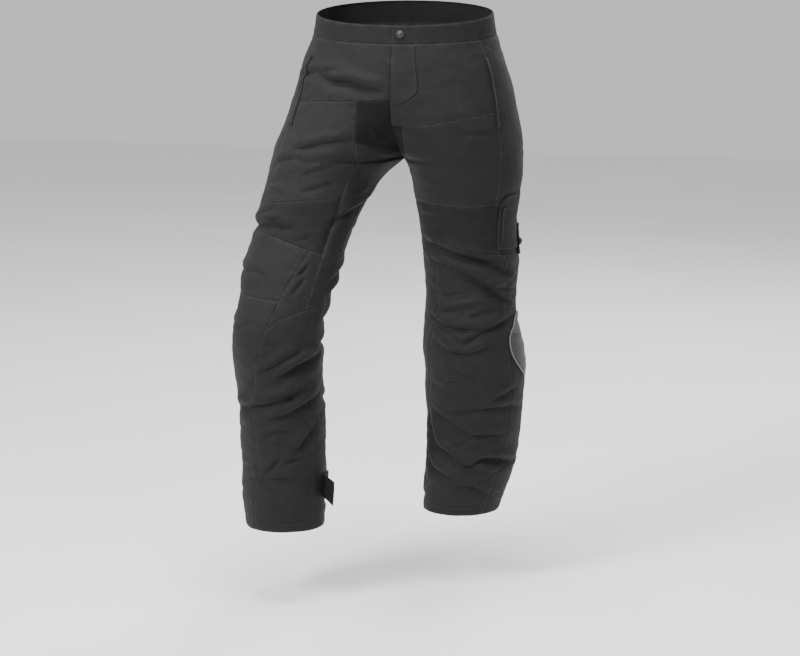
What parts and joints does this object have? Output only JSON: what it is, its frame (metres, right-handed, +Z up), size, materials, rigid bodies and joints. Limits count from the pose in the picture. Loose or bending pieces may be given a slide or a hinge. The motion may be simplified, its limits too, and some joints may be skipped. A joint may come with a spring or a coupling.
{
  "type": "motorcycle trousers",
  "caption": "Black motorcycle trousers held in a standing wearer's shape, with stretch panels at crotch and knee, grey outer-knee leaves, and an open waist and hems.",
  "frame": {"origin": "middle of the waist opening, where the wearer's waist holds the trousers", "axes": "+Z up, -Y out of the front, +X towards the wearer's left side"},
  "size_m": [0.5188, 0.4044, 0.9775],
  "materials": {
    "shell_cloth": "matt black woven shell cloth",
    "stretch_cloth": "matt black ribbed stretch cloth",
    "waistband_cloth": "matt black woven cloth, two layers",
    "leaf_cloth": "grey woven cloth with a slight sheen",
    "piping": "light grey reflective piping",
    "zip": "black zip tape and coil",
    "strap_cloth": "black webbing and hook tape",
    "snap_metal": "black painted snap cap"
  },
  "bodies": {
    "root": {"waistband_front_right": "waistband_cloth", "waistband_front_left": "waistband_cloth", "waistband_back": "waistband_cloth", "waist_snap": "snap_metal", "fly_placket": "shell_cloth", "hip_front_right": "shell_cloth", "hip_front_left": "shell_cloth", "crotch_gusset_right": "stretch_cloth", "crotch_gusset_left": "stretch_cloth", "thigh_front_right": "shell_cloth", "thigh_front_left": "shell_cloth", "inner_thigh_right": "shell_cloth", "inner_thigh_left": "shell_cloth", "stretch_above_knee_right": "stretch_cloth", "stretch_above_knee_left": "stretch_cloth", "inner_knee_patch_right": "shell_cloth", "inner_knee_patch_left": "shell_cloth", "knee_panel_right": "shell_cloth", "knee_panel_left": "shell_cloth", "shin_panel_right": "shell_cloth", "shin_panel_left": "shell_cloth", "inner_calf_right": "shell_cloth", "inner_calf_left": "shell_cloth", "outer_thigh_right": "shell_cloth", "outer_thigh_left": "shell_cloth", "outer_calf_right": "shell_cloth", "outer_calf_left": "shell_cloth", "seat_and_back_thigh_right": "shell_cloth", "seat_and_back_thigh_left": "shell_cloth", "back_calf_right": "shell_cloth", "back_calf_left": "shell_cloth", "leaf_panel_right": "leaf_cloth", "leaf_panel_left": "leaf_cloth", "leaf_piping_right": "piping", "leaf_piping_left": "piping", "hip_zip_right": "zip", "hip_zip_left": "zip", "thigh_pocket_left": "shell_cloth", "thigh_pocket_zip_left": "zip", "thigh_tab_right": "strap_cloth", "thigh_tab_left": "strap_cloth", "thigh_tab_snap_right": "snap_metal", "thigh_tab_snap_left": "snap_metal", "hem_strap_right": "strap_cloth", "hem_strap_left": "strap_cloth"}
  },
  "joints": []
}
